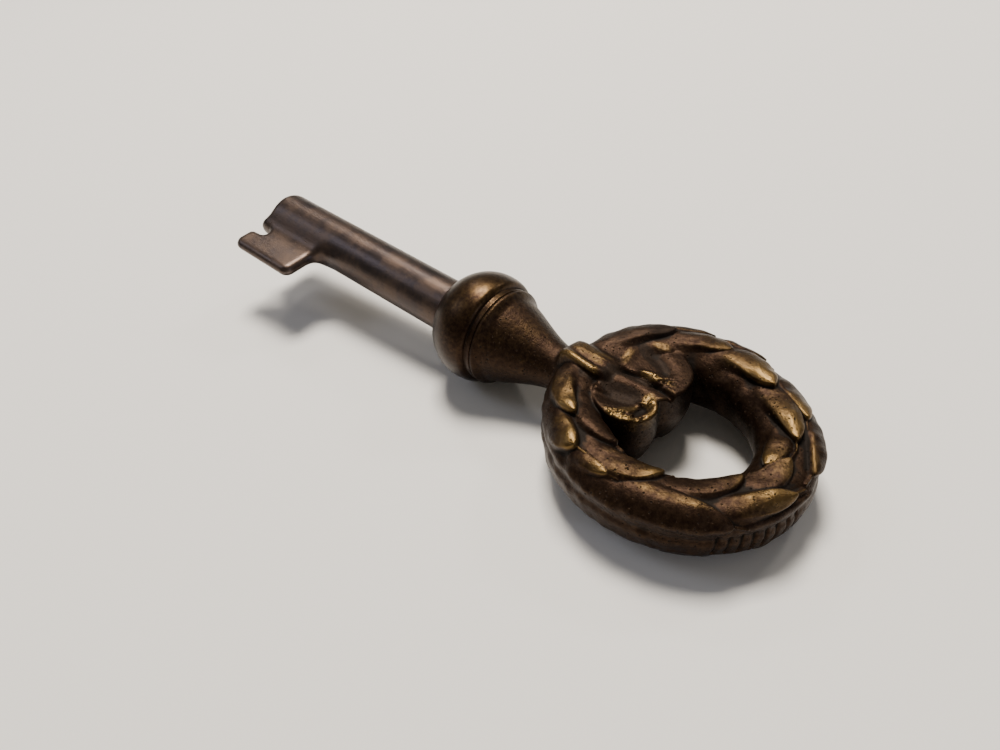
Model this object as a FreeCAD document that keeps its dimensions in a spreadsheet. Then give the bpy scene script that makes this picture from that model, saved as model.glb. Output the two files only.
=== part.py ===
import FreeCAD, Part
import math
import os
import Sketcher

# Furniture-lock key: a bored steel barrel with a flat bit, held in a cast bronze
# bow shaped as a laurel wreath with a ribbon bow tied at its foot.
#
# Frame: X runs along the key from the barrel's mouth to the far end of the
# wreath, Z is square to the flat of the bit and of the wreath, and the bit
# points to -Y. The origin is the centre of the barrel's mouth. Millimetres.

SIZES = [
    # barrel, and the tenon behind it that goes into the bow
    ("barrel_radius", 3.0),
    ("barrel_end", 30.2),
    ("mouth_radius", 2.55),
    ("mouth_chamfer", 0.45),
    ("bore_radius", 1.6),
    ("bore_depth", 20.0),
    ("bore_point", 20.9),
    ("tenon_radius", 2.1),
    ("tenon_end", 41.0),
    # bit
    ("bit_overhang", 0.5),
    ("bit_rear", 9.7),
    ("bit_reach", 7.8),
    ("bit_root", 2.1),
    ("bit_thickness", 1.5),
    ("bit_corner", 0.8),
    ("notch_end", 2.2),
    ("notch_near", 3.6),
    ("notch_far", 4.9),
    ("notch_corner", 0.5),
    ("braze_radius", 0.8),
    # bead ferrule
    ("bead_face_radius", 3.8),
    ("bead_bulge", 5.2),
    ("bead_back", 36.8),
    ("bead_back_radius", 5.55),
    ("bead_edge", 0.5),
    ("bead_web", 32.0),
    # bow casting: spigot, lip, bell and neck
    ("spigot_radius", 3.6),
    ("lip_radius", 5.35),
    ("lip_bulge", 1.3),
    ("bell_front", 38.6),
    ("bell_radius", 4.75),
    ("shoulder_bulge", 2.85),
    ("shoulder_end", 40.4),
    ("shoulder_radius", 4.05),
    ("bell_sweep", 6.7),
    ("neck_start", 44.8),
    ("neck_radius", 2.4),
    ("neck_end", 48.2),
    # cross pin, under the ferrule
    ("pin_radius", 0.7),
    ("pin_place", 34.6),
    ("pin_sunk", 0.25),
    # wreath
    ("wreath_centre", 58.7),
    ("wreath_half_length", 13.25),
    ("wreath_half_width", 11.97),
    ("section_half_width", 3.0),
    ("foot_half_height", 4.4),
    ("far_half_height", 3.4),
    ("leaf_root_scale", 0.86),
    ("leaf_middle_scale", 0.97),
    ("leaves_per_branch", 8),
    # ribbon bow
    ("large_loop_place", 54.2),
    ("large_loop_offset", 2.7),
    ("large_loop_radius", 4.1),
    ("small_loop_place", 54.4),
    ("small_loop_offset", 2.1),
    ("small_loop_radius", 2.8),
    ("ribbon_half_height", 3.7),
    ("ribbon_wall", 0.8),
    ("hollow_depth", 1.6),
]

X_AXIS = FreeCAD.Vector(1, 0, 0)
Z_AXIS = FreeCAD.Vector(0, 0, 1)

doc = FreeCAD.newDocument("furniture_key")
sheet = doc.addObject("Spreadsheet::Sheet", "sizes")
for row, (alias, number) in enumerate(SIZES, start=1):
    cell = "B" + str(row)
    sheet.set("A" + str(row), alias)
    sheet.set(cell, str(number))
    sheet.setAlias(cell, alias)
doc.recompute()


# ---- sketches bound to the sheet ----

def size(name):
    """A size from the sheet. A leading minus sign turns it over, and axis means zero."""
    if name == "axis":
        return 0.0
    if name.startswith("-"):
        return -float(getattr(sheet, name[1:]))
    return float(getattr(sheet, name))


def formula(name):
    """The same size as an expression on the sheet."""
    if name.startswith("-"):
        return "-sizes." + name[1:]
    return "sizes." + name


def origin_feature(body, role):
    """One of the body's own origin planes or axes."""
    for feature in body.Origin.OriginFeatures:
        if feature.Role == role:
            return feature
    raise ValueError(role)


def new_sketch(body, name, role):
    """An empty sketch on one of the body's origin planes."""
    sketch = body.newObject("Sketcher::SketchObject", name)
    sketch.AttachmentSupport = [(origin_feature(body, role), "")]
    sketch.MapMode = "FlatFace"
    return sketch


def drive(sketch, constraint, name):
    """Add a constraint that takes its value from the sheet."""
    index = sketch.addConstraint(constraint)
    sketch.setExpression("Constraints[" + str(index) + "]", formula(name))


def pin_corner(sketch, edge, end, x_name, y_name):
    """Tie one corner of an outline to the sheet, or to an axis of the sketch."""
    if x_name == "axis":
        sketch.addConstraint(Sketcher.Constraint("PointOnObject", edge, end, -2))
    else:
        drive(sketch, Sketcher.Constraint("DistanceX", -1, 1, edge, end, size(x_name)), x_name)
    if y_name == "axis":
        sketch.addConstraint(Sketcher.Constraint("PointOnObject", edge, end, -1))
    else:
        drive(sketch, Sketcher.Constraint("DistanceY", -1, 1, edge, end, size(y_name)), y_name)


def arc_between(start, end, radius, side):
    """Arc from start to end; side +1 bulges to the left of the way there, -1 to the right."""
    chord = end - start
    half = chord.Length / 2.0
    left = FreeCAD.Vector(-chord.y, chord.x, 0).normalize()
    centre = start + chord * 0.5 - left * (side * math.sqrt(radius * radius - half * half))
    angles = [math.atan2(point.y - centre.y, point.x - centre.x) for point in (start, end)]
    if side > 0:
        angles.reverse()
    if angles[1] < angles[0]:
        angles[1] += 2 * math.pi
    return Part.ArcOfCircle(Part.Circle(centre, Z_AXIS, radius), angles[0], angles[1])


def draw_outline(sketch, corners):
    """Closed outline. A corner is (x, y), or (x, y, radius, side) where an arc leaves it."""
    points = [FreeCAD.Vector(size(corner[0]), size(corner[1]), 0) for corner in corners]
    ends = []
    for index, corner in enumerate(corners):
        start = points[index]
        following = points[(index + 1) % len(points)]
        if len(corner) == 2:
            sketch.addGeometry(Part.LineSegment(start, following))
            ends.append((1, 2))
            continue
        sketch.addGeometry(arc_between(start, following, size(corner[2]), corner[3]))
        ends.append((2, 1) if corner[3] > 0 else (1, 2))
        drive(sketch, Sketcher.Constraint("Radius", index, size(corner[2])), corner[2])
    for index, corner in enumerate(corners):
        following = (index + 1) % len(corners)
        sketch.addConstraint(
            Sketcher.Constraint("Coincident", index, ends[index][1], following, ends[following][0]))
        pin_corner(sketch, index, ends[index][0], corner[0], corner[1])


def turned_body(name, corners):
    """A body of revolution about X, from its half outline."""
    body = doc.addObject("PartDesign::Body", name)
    sketch = new_sketch(body, name + "_outline", "XY_Plane")
    draw_outline(sketch, corners)
    turned = body.newObject("PartDesign::Revolution", name + "_turned")
    turned.Profile = sketch
    turned.ReferenceAxis = (origin_feature(body, "X_Axis"), [""])
    doc.recompute()
    return body


def edges_where(shape, test):
    """Names of the shape's edges whose middle point passes the test."""
    names = []
    for index, edge in enumerate(shape.Edges, start=1):
        middle = edge.valueAt((edge.FirstParameter + edge.LastParameter) / 2.0)
        if test(edge, middle):
            names.append("Edge" + str(index))
    return names


def round_off(body, name, edge_names, radius_name):
    """Round some edges of the body's tip."""
    rounded = body.newObject("PartDesign::Fillet", name)
    rounded.Base = (body.Group[-2], edge_names)
    rounded.Radius = size(radius_name)
    rounded.setExpression("Radius", formula(radius_name))
    doc.recompute()


def boolean(kind, name, base, tool):
    """A boolean of two objects of the document, as an object of its own."""
    result = doc.addObject(kind, name)
    result.Base = base
    result.Tool = tool
    return result


# ---- steel pieces ----

def make_bit():
    """Flat bit with a notch cut beside the barrel. Its root is let into the barrel."""
    body = doc.addObject("PartDesign::Body", "bit")
    sketch = new_sketch(body, "bit_outline", "XY_Plane")
    draw_outline(sketch, [
        ("axis", "-bit_root"),
        ("bit_rear", "-bit_root"),
        ("bit_rear", "-bit_reach"),
        ("-bit_overhang", "-bit_reach"),
        ("-bit_overhang", "-notch_far"),
        ("notch_end", "-notch_far"),
        ("notch_end", "-notch_near"),
        ("axis", "-notch_near"),
    ])
    plate = body.newObject("PartDesign::Pad", "bit_plate")
    plate.Profile = sketch
    plate.SideType = "Symmetric"
    plate.setExpression("Length", formula("bit_thickness"))
    doc.recompute()

    def upright_at(x_name, y_name):
        def test(edge, middle):
            beside = math.hypot(middle.x - size(x_name), middle.y - size(y_name))
            return beside < 1e-3 and abs(edge.tangentAt(edge.FirstParameter).z) > 0.99
        return edges_where(body.Shape, test)[0]

    outer = [("bit_rear", "-bit_reach"), ("-bit_overhang", "-bit_reach"), ("-bit_overhang", "-notch_far")]
    round_off(body, "bit_corners", [upright_at(*corner) for corner in outer], "bit_corner")
    inner = [("notch_end", "-notch_far"), ("notch_end", "-notch_near")]
    round_off(body, "notch_corners", [upright_at(*corner) for corner in inner], "notch_corner")
    return body


def make_barrel_blank():
    """Barrel with a chamfered mouth, a shoulder and a tenon, bored for the lock's drill pin."""
    body = turned_body("barrel_blank", [
        ("axis", "axis"),
        ("axis", "mouth_radius"),
        ("mouth_chamfer", "barrel_radius"),
        ("barrel_end", "barrel_radius"),
        ("barrel_end", "tenon_radius"),
        ("tenon_end", "tenon_radius"),
        ("tenon_end", "axis"),
    ])
    solid_volume = body.Shape.Volume
    sketch = new_sketch(body, "bore_outline", "XY_Plane")
    draw_outline(sketch, [
        ("axis", "axis"),
        ("axis", "bore_radius"),
        ("bore_depth", "bore_radius"),
        ("bore_point", "axis"),
    ])
    bore = body.newObject("PartDesign::Groove", "bore")
    bore.Profile = sketch
    bore.ReferenceAxis = (origin_feature(body, "X_Axis"), [""])
    doc.recompute()
    bore_volume = math.pi * size("bore_radius") ** 2 * size("bore_depth")
    if solid_volume - body.Shape.Volume < bore_volume:
        raise RuntimeError("the bore cut too little")
    return body


def make_cross_pin():
    """Pin through the spigot and the tenon, hidden under the ferrule."""
    pin = doc.addObject("Part::Cylinder", "cross_pin")
    pin.setExpression("Radius", formula("pin_radius"))
    pin.setExpression("Height", "2 * (sizes.spigot_radius - sizes.pin_sunk)")
    pin.setExpression("Placement.Base.x", formula("pin_place"))
    pin.setExpression("Placement.Base.z", "sizes.pin_sunk - sizes.spigot_radius")
    return pin


def make_braze():
    """Two flat-faced brazed seams along the corner between barrel and bit."""
    barrel_radius = size("barrel_radius")
    face = size("bit_thickness") / 2.0
    rise = face + size("braze_radius")
    run = barrel_radius + size("braze_radius")
    reach = math.sqrt(run ** 2 - rise ** 2)
    on_barrel = barrel_radius / run
    front = size("notch_end") + size("notch_corner")
    length = size("bit_rear") - size("notch_corner") - front
    root = FreeCAD.Vector(front, -size("bit_root"), face)
    foot = FreeCAD.Vector(front, -reach, face)
    top = FreeCAD.Vector(front, -reach * on_barrel, rise * on_barrel)
    wedge = Part.Face(Part.makePolygon([root, foot, top, root])).extrude(length * X_AXIS)
    upper = wedge.cut(Part.makeCylinder(barrel_radius, size("barrel_end"), FreeCAD.Vector(), X_AXIS))
    lower = upper.mirror(FreeCAD.Vector(), Z_AXIS)
    braze = doc.addObject("Part::Feature", "bit_braze")
    braze.Shape = Part.makeCompound([upper, lower])
    return braze


# ---- bronze pieces ----

def make_ferrule():
    """Bead with a web against the barrel's shoulder and a counterbore over the spigot."""
    body = turned_body("bead_ferrule", [
        ("barrel_end", "tenon_radius"),
        ("barrel_end", "bead_face_radius", "bead_bulge", 1),
        ("bead_back", "bead_back_radius"),
        ("bead_back", "spigot_radius"),
        ("bead_web", "spigot_radius"),
        ("bead_web", "tenon_radius"),
    ])

    def front_rim(edge, middle):
        on_face = abs(middle.x - size("barrel_end")) < 1e-3
        out = math.hypot(middle.y, middle.z)
        return on_face and abs(out - size("bead_face_radius")) < 1e-3

    round_off(body, "bead_rim", edges_where(body.Shape, front_rim), "bead_edge")
    return body


def make_bell():
    """Spigot, lip, bell and neck at the foot of the bow, turned about the key's axis."""
    return turned_body("bell", [
        ("bead_web", "axis"),
        ("bead_web", "spigot_radius"),
        ("bead_back", "spigot_radius"),
        ("bead_back", "lip_radius", "lip_bulge", 1),
        ("bell_front", "bell_radius", "shoulder_bulge", 1),
        ("shoulder_end", "shoulder_radius", "bell_sweep", -1),
        ("neck_start", "neck_radius"),
        ("neck_end", "neck_radius"),
        ("neck_end", "axis"),
    ])


def wreath_section(angle, scale):
    """Oval section of the wreath, square to its centre line at this angle round it."""
    half_length = size("wreath_half_length") - size("section_half_width")
    half_width = size("wreath_half_width") - size("section_half_width")
    centre = FreeCAD.Vector(size("wreath_centre") + half_length * math.cos(angle),
                            half_width * math.sin(angle), 0)
    outward = FreeCAD.Vector(half_width * math.cos(angle), half_length * math.sin(angle), 0).normalize()
    towards_far_end = 0.5 + 0.5 * math.cos(angle)
    thinning = (size("foot_half_height") - size("far_half_height")) * towards_far_end
    top = centre + Z_AXIS * ((size("foot_half_height") - thinning) * scale)
    side = centre + outward * (size("section_half_width") * scale)
    return Part.Wire(Part.Ellipse(top, side, centre).toShape())


def make_wreath():
    """Two branches of leaf whorls, growing from the neck and meeting at the far end."""
    count = int(size("leaves_per_branch"))
    whorls = []
    for side in (1, -1):
        for step in range(count):
            root = math.pi - side * math.pi * step / count
            tip = math.pi - side * math.pi * (step + 1) / count
            sections = [
                wreath_section(root, size("leaf_root_scale")),
                wreath_section((root + tip) / 2.0, size("leaf_middle_scale")),
                wreath_section(tip, 1.0),
            ]
            whorls.append(Part.makeLoft(sections, True, False))
    wreath = doc.addObject("Part::Feature", "wreath")
    wreath.Shape = whorls[0].multiFuse(whorls[1:])
    return wreath


def make_loop(name, place_name, side, offset_name, radius_name):
    """One loop of the ribbon: a short upright drum, hollowed from both faces."""
    drum = doc.addObject("Part::Cylinder", name + "_drum")
    drum.setExpression("Radius", formula(radius_name))
    drum.setExpression("Height", "2 * sizes.ribbon_half_height")
    hollows = []
    for face, base_height in (("upper", "sizes.ribbon_half_height - sizes.hollow_depth"),
                              ("lower", "-sizes.ribbon_half_height")):
        hollow = doc.addObject("Part::Cylinder", name + "_" + face + "_hollow")
        hollow.setExpression("Radius", formula(radius_name) + " - sizes.ribbon_wall")
        hollow.setExpression("Height", "sizes.hollow_depth")
        hollow.setExpression("Placement.Base.z", base_height)
        hollows.append(hollow)
    drum.setExpression("Placement.Base.z", "-sizes.ribbon_half_height")
    for cylinder in [drum] + hollows:
        cylinder.setExpression("Placement.Base.x", formula(place_name))
        cylinder.setExpression("Placement.Base.y", side + "sizes." + offset_name)
    upper_cut = boolean("Part::Cut", name + "_cut", drum, hollows[0])
    return boolean("Part::Cut", name, upper_cut, hollows[1])


def make_bow(barrel_blank, cross_pin):
    """The whole casting, bored for the tenon and the cross pin."""
    casting = doc.addObject("Part::MultiFuse", "casting")
    casting.Shapes = [
        make_bell(),
        make_wreath(),
        make_loop("large_loop", "large_loop_place", "", "large_loop_offset", "large_loop_radius"),
        make_loop("small_loop", "small_loop_place", "-", "small_loop_offset", "small_loop_radius"),
    ]
    bored = boolean("Part::Cut", "casting_bored", casting, barrel_blank)
    return boolean("Part::Cut", "wreath_bow", bored, cross_pin)


# ---- assembly ----

bit = make_bit()
barrel_blank = make_barrel_blank()
cross_pin = make_cross_pin()
braze = make_braze()
ferrule = make_ferrule()
wreath_bow = make_bow(barrel_blank, cross_pin)
slotted = boolean("Part::Cut", "barrel_slotted", barrel_blank, bit)
barrel = boolean("Part::Cut", "barrel", slotted, cross_pin)
doc.recompute()

for item in doc.Objects:
    if "Invalid" in item.State or "Error" in item.State:
        raise RuntimeError("failed: " + item.Name + " " + str(item.State))

os.makedirs("parts", exist_ok=True)
for piece in (wreath_bow, ferrule, barrel, bit, braze, cross_pin):
    shape = piece.Shape
    if shape.isNull() or not shape.isValid():
        raise RuntimeError("bad shape: " + piece.Label)
    box = shape.optimalBoundingBox()
    print(piece.Label, "solids", len(shape.Solids), "volume", round(shape.Volume, 1))
    print("   from", box.XMin, box.YMin, box.ZMin, "to", box.XMax, box.YMax, box.ZMax)
    shape.exportStep("parts/" + piece.Label + ".step")
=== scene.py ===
import bpy
import math
import numpy as np
from collections import namedtuple
from mathutils import Matrix, Vector


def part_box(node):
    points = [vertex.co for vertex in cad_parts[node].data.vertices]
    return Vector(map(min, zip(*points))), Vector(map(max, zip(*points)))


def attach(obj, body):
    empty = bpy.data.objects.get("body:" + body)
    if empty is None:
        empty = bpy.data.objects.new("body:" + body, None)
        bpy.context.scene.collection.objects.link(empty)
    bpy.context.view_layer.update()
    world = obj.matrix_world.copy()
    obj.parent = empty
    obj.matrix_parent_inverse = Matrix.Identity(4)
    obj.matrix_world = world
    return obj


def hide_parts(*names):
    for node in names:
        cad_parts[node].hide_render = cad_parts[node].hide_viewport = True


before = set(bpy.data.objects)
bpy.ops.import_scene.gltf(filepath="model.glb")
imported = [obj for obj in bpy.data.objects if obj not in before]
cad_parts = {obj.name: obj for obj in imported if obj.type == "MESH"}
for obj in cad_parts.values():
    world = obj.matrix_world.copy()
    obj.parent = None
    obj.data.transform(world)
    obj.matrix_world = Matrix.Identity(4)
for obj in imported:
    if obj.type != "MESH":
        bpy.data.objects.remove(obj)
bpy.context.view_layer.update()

# Lengths below are millimetres in the key's own frame: X from the barrel's mouth to
# the far end of the wreath, Z square to the flat of the bit, the bit towards -Y.
MM = 0.001


# ---- surfaces from distance fields ----
# A field gives, for arrays of x, y and z, the distance to a surface, negative inside.

def smooth_min(a, b, blend):
    """Union of two fields with a fillet about as wide as blend."""
    share = np.clip(0.5 + 0.5 * (b - a) / blend, 0.0, 1.0)
    return b + (a - b) * share - blend * share * (1.0 - share)


def smooth_max(a, b, blend):
    """Intersection of two fields with a rounded edge."""
    return -smooth_min(-a, -b, blend)


def smooth_step(low, high, value):
    """Smoothly from 0 at low to 1 at high; low may be the larger of the two."""
    part = np.clip((value - low) / (high - low), 0.0, 1.0)
    return part * part * (3.0 - 2.0 * part)


def field_slope(field, points, reach):
    """Direction and steepness of the field's slope at points, by central differences."""
    slopes = np.empty_like(points)
    for axis in range(3):
        ahead = points.copy()
        behind = points.copy()
        ahead[:, axis] += reach
        behind[:, axis] -= reach
        slopes[:, axis] = field(*ahead.T) - field(*behind.T)
    length = np.linalg.norm(slopes, axis=1, keepdims=True)
    return slopes / np.maximum(length, 1e-9), length[:, 0] / (2.0 * reach)


BLOCK = 3
BLOCK_REACH = 1.3
POINTS_AT_ONCE = 200000
SETTLE_ROUNDS = 2


def sample_field(field, low, cell, counts):
    """Field on a lattice: looked at coarsely first, then finely only in blocks of cells
    that may hold some of the surface."""
    blocks = [(count + BLOCK - 1) // BLOCK + 1 for count in counts]
    lattice = np.meshgrid(*(low[k] + cell * BLOCK * np.arange(blocks[k]) for k in range(3)), indexing="ij")
    coarse = field(*(axis.ravel() for axis in lattice)).reshape(blocks)
    nearest = np.abs(coarse)
    for axis in range(3):
        nearest = np.minimum(nearest, np.roll(nearest, -1, axis))
    near = nearest < BLOCK_REACH * BLOCK * cell * math.sqrt(3.0)
    values = coarse
    for axis in range(3):
        values = np.repeat(values, BLOCK, axis)
        near = np.repeat(near, BLOCK, axis)
    crop = tuple(slice(0, count) for count in counts)
    values = values[crop].astype(np.float32)
    places = np.argwhere(near[crop])
    for part in np.array_split(places, len(places) // POINTS_AT_ONCE + 1):
        x, y, z = (np.array(low) + cell * part).T
        values[tuple(part.T)] = field(x, y, z)
    return values


def surface_net(field, low, high, cell):
    """Closed quad mesh of the field's zero surface inside a box, by surface nets."""
    counts = [int(math.ceil((high[k] - low[k]) / cell)) + 1 for k in range(3)]
    values = sample_field(field, low, cell, counts)
    inside = values < 0.0
    shape = [count - 1 for count in counts]
    corners = [(i, j, k) for i in (0, 1) for j in (0, 1) for k in (0, 1)]

    def at(array, offset):
        return array[tuple(slice(offset[k], offset[k] + shape[k]) for k in range(3))]

    total = sum(at(inside, corner).astype(np.int8) for corner in corners)
    active = np.argwhere((total > 0) & (total < 8))
    number = np.full(shape, -1, np.int64)
    number[tuple(active.T)] = np.arange(len(active))
    place = np.zeros((len(active), 3))
    crossings = np.zeros(len(active))
    for first in corners:
        for axis in range(3):
            if first[axis] == 1:
                continue
            second = list(first)
            second[axis] = 1
            a = values[tuple((active + first).T)]
            b = values[tuple((active + second).T)]
            crosses = (a < 0.0) != (b < 0.0)
            share = np.where(crosses, a / np.where(crosses, a - b, 1.0), 0.0)
            point = np.tile(np.array(first, float), (len(active), 1))
            point[:, axis] += share
            place += point * crosses[:, None]
            crossings += crosses
    points = np.array(low) + cell * (active + place / crossings[:, None])

    faces = []
    for axis in range(3):
        u = (axis + 1) % 3
        v = (axis + 2) % 3
        step = [0, 0, 0]
        step[axis] = 1
        first = inside[tuple(slice(0, counts[k] - step[k]) for k in range(3))]
        second = inside[tuple(slice(step[k], counts[k]) for k in range(3))]
        edges = np.argwhere(first != second)
        keep = (edges[:, u] > 0) & (edges[:, v] > 0) & (edges[:, u] < shape[u]) & (edges[:, v] < shape[v])
        edges = edges[keep]
        goes_out = first[tuple(edges.T)]
        loop = []
        for du, dv in ((1, 1), (0, 1), (0, 0), (1, 0)):
            neighbour = edges.copy()
            neighbour[:, u] -= du
            neighbour[:, v] -= dv
            loop.append(number[tuple(neighbour.T)])
        quads = np.stack(loop, axis=1)
        quads[~goes_out] = quads[~goes_out][:, ::-1]
        faces.append(quads)
    return points, np.concatenate(faces)


def settle(field, points, cell):
    """Move net points onto the surface itself."""
    for _ in range(SETTLE_ROUNDS):
        slope, steepness = field_slope(field, points, 0.2 * cell)
        distance = field(*points.T) / np.maximum(steepness, 0.5)
        points = points - slope * np.clip(distance, -0.5 * cell, 0.5 * cell)[:, None]
    return points


def paint_points(mesh, name, amounts):
    """Keep one number per vertex on the mesh, for its material to read."""
    layer = mesh.attributes.new(name, "FLOAT", "POINT")
    layer.data.foreach_set("value", np.asarray(amounts, np.float32))


def bend_of(field, points, reach):
    """How much the surface bulges (positive) or hollows (negative) over this reach."""
    total = np.zeros(len(points))
    for axis in range(3):
        for way in (-reach, reach):
            moved = points.copy()
            moved[:, axis] += way
            total += field(*moved.T)
    return (total - 6.0 * field(*points.T)) / reach


def field_piece(name, field, wear_and_painted_light, low, high, cell, node, material):
    """Mesh a field, keep its wear (with painted shade and sheen) and depth on the vertices, and let it stand
    for a CAD node.
    """
    points, quads = surface_net(field, low, high, cell)
    points = settle(field, points, cell)
    mesh = bpy.data.meshes.new(name)
    mesh.from_pydata((points * MM).tolist(), [], quads.tolist())
    mesh.shade_smooth()
    edges = bend_of(field, points, EDGE_REACH)
    swell = bend_of(field, points, SWELL_REACH)
    paint_points(mesh, "edges", edges)
    paint_points(mesh, "swell", swell)
    paint_points(mesh, "wear_and_painted_light", wear_and_painted_light(points, edges, swell))
    piece = bpy.data.objects.new(name, mesh)
    bpy.context.scene.collection.objects.link(piece)
    mesh.materials.append(material)
    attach(piece, "root")
    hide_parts(node)


# ---- sizes taken from the CAD frame ----

def corners_mm(node):
    """Lowest and highest corner of a CAD node's box, in millimetres."""
    low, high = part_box(node)
    return np.array(low) / MM, np.array(high) / MM


bow_low, bow_high = corners_mm("wreath_bow")
ferrule_low, ferrule_high = corners_mm("bead_ferrule")
barrel_high = corners_mm("barrel")[1]
bit_low, bit_high = corners_mm("bit")

FINE = 0.1
EDGE_REACH = 0.25
SWELL_REACH = 1.0

BARREL_RADIUS = barrel_high[2]
TENON_RADIUS = 0.7 * BARREL_RADIUS
SPIGOT_RADIUS = 1.2 * BARREL_RADIUS
FERRULE_WEB = 1.8

# The wreath is an oval ring. Its section is a squarish oval, highest at the foot by the neck.
SECTION_HALF_WIDTH = 3.0
SECTION_POWER = 2.3
LEAF_STAND = 0.7
FOOT_HALF_HEIGHT = 4.4
FAR_HALF_HEIGHT = 3.4
WREATH_LENGTH_TO_WIDTH = 1.107
WREATH_HALF_LENGTH = bow_high[1] * WREATH_LENGTH_TO_WIDTH
WREATH_CENTRE = bow_high[0] - WREATH_HALF_LENGTH
LINE_A = WREATH_HALF_LENGTH - SECTION_HALF_WIDTH
LINE_B = bow_high[1] - SECTION_HALF_WIDTH


# ---- the wreath ----

ARC_STEPS = 721
NEAREST_ROUNDS = 3
LEAST_CURVE = 20.0
LARGEST_TURN = 0.3


def running_length(xs, ys):
    """Length along a chain of points, up to each of them."""
    steps = np.hypot(np.diff(xs), np.diff(ys))
    return np.concatenate([[0.0], np.cumsum(steps)])


turns = np.linspace(0.0, math.pi, ARC_STEPS)
branch_lengths = running_length(-LINE_A * np.cos(turns), LINE_B * np.sin(turns))
BRANCH = branch_lengths[-1]

round_q = np.sign(np.cos(turns)) * np.abs(np.cos(turns)) ** (2.0 / SECTION_POWER)
round_z = np.abs(np.sin(turns)) ** (2.0 / SECTION_POWER)
round_lengths = running_length(SECTION_HALF_WIDTH * round_q,
                               0.5 * (FOOT_HALF_HEIGHT + FAR_HALF_HEIGHT) * round_z)
QUARTER_ROUND = round_lengths[len(round_lengths) // 2]


def wreath_place(x, y, z):
    """Where a point lies on the wreath: distance along its branch from the foot, distance
    round the section from the crest (outwards positive), offset outwards from the centre
    line, and the section's half height there."""
    px = x - WREATH_CENTRE
    py = np.abs(y)
    turn = np.arctan2(py / LINE_B, px / LINE_A)
    for _ in range(NEAREST_ROUNDS):
        cos, sin = np.cos(turn), np.sin(turn)
        gap_x, gap_y = LINE_A * cos - px, LINE_B * sin - py
        slope = -gap_x * LINE_A * sin + gap_y * LINE_B * cos
        curve = (LINE_A * sin) ** 2 + (LINE_B * cos) ** 2 - gap_x * LINE_A * cos - gap_y * LINE_B * sin
        turn = turn - np.clip(slope / np.maximum(curve, LEAST_CURVE), -LARGEST_TURN, LARGEST_TURN)
    cos, sin = np.cos(turn), np.sin(turn)
    out_x, out_y = LINE_B * cos, LINE_A * sin
    outward = ((px - LINE_A * cos) * out_x + (py - LINE_B * sin) * out_y) / np.hypot(out_x, out_y)
    along = np.interp(math.pi - turn, turns, branch_lengths)
    height = FOOT_HALF_HEIGHT + (FAR_HALF_HEIGHT - FOOT_HALF_HEIGHT) * (0.5 + 0.5 * cos)
    power = SECTION_POWER / 2.0
    round_turn = np.arctan2((np.abs(z) / height) ** power,
                            np.sign(outward) * (np.abs(outward) / SECTION_HALF_WIDTH) ** power)
    around = QUARTER_ROUND - np.interp(round_turn, turns, round_lengths)
    return along, around, outward, height


SECTION_INSET = 0.05
CORE_SIZE = 0.2
CORE_DEPTH = 1.8


def section_distance(outward, z, half_height):
    """Distance to the branch's oval section, without its leaves."""
    n = SECTION_POWER
    half_width = SECTION_HALF_WIDTH - SECTION_INSET
    a = np.abs(outward) / half_width
    b = np.abs(z) / half_height
    size = np.maximum(a ** n + b ** n, 1e-6) ** (1.0 / n)
    slope = size ** (1.0 - n) * np.hypot(a ** (n - 1.0) / half_width, b ** (n - 1.0) / half_height)
    return np.where(size > CORE_SIZE, (size - 1.0) / np.maximum(slope, 1e-3), -CORE_DEPTH)


SOFT_EDGE = 1.5
CRISP_EDGE = 0.35
LEAF_BELLY = 0.35
ROOT_NARROWING = 0.3
TIP_POWER = 1.7
CROWN_FALL = 0.35
RISE_SCALE = 1.05
RISE_TURN = 0.64
RISE_POWER = 1.25

# Root and tip are (distance along the branch, distance round from the crest). Lift is how
# proud the tip stands, dish how hollow the leaf is, sweep its sideways bow, the last value how
# far handling has rubbed it towards gold, and below zero painted shade on leaves that lie in shade.
Leaf = namedtuple("Leaf", "root tip half_width lift dish sweep shine")
NEAR_LEAVES = [
    Leaf((0.2, 2.1), (7.8, 0.0), 1.4, 0.85, 0.2, 0.2, 0.6),
    Leaf((6.4, 2.7), (11.0, 1.45), 1.65, 0.80, 0.0, 0.0, 0.95),
    Leaf((4.4, -1.4), (12.5, -2.4), 1.7, 0.62, 0.0, 0.3, -0.1),
    Leaf((9.8, 0.6), (18.6, -2.2), 1.7, 0.62, 0.15, 0.5, 0.45),
    Leaf((9.6, 2.1), (14.5, 1.3), 1.0, 0.40, 0.0, 0.0, 0.6),
    Leaf((15.0, 1.9), (24.2, 3.3), 2.3, 0.62, 0.0, -0.7, -0.3),
    Leaf((17.4, -1.5), (26.9, -1.8), 1.7, 0.62, 0.2, 0.2, 0.2),
    Leaf((22.6, 1.5), (29.2, 2.5), 1.5, 0.95, 0.0, -0.45, 0.8),
    Leaf((25.2, -0.8), (31.6, 0.2), 1.7, 0.62, 0.35, 0.0, 0.35),
    Leaf((23.6, 4.0), (31.0, 4.3), 1.3, 0.30, 0.0, 0.0, 0.0),
]
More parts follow.
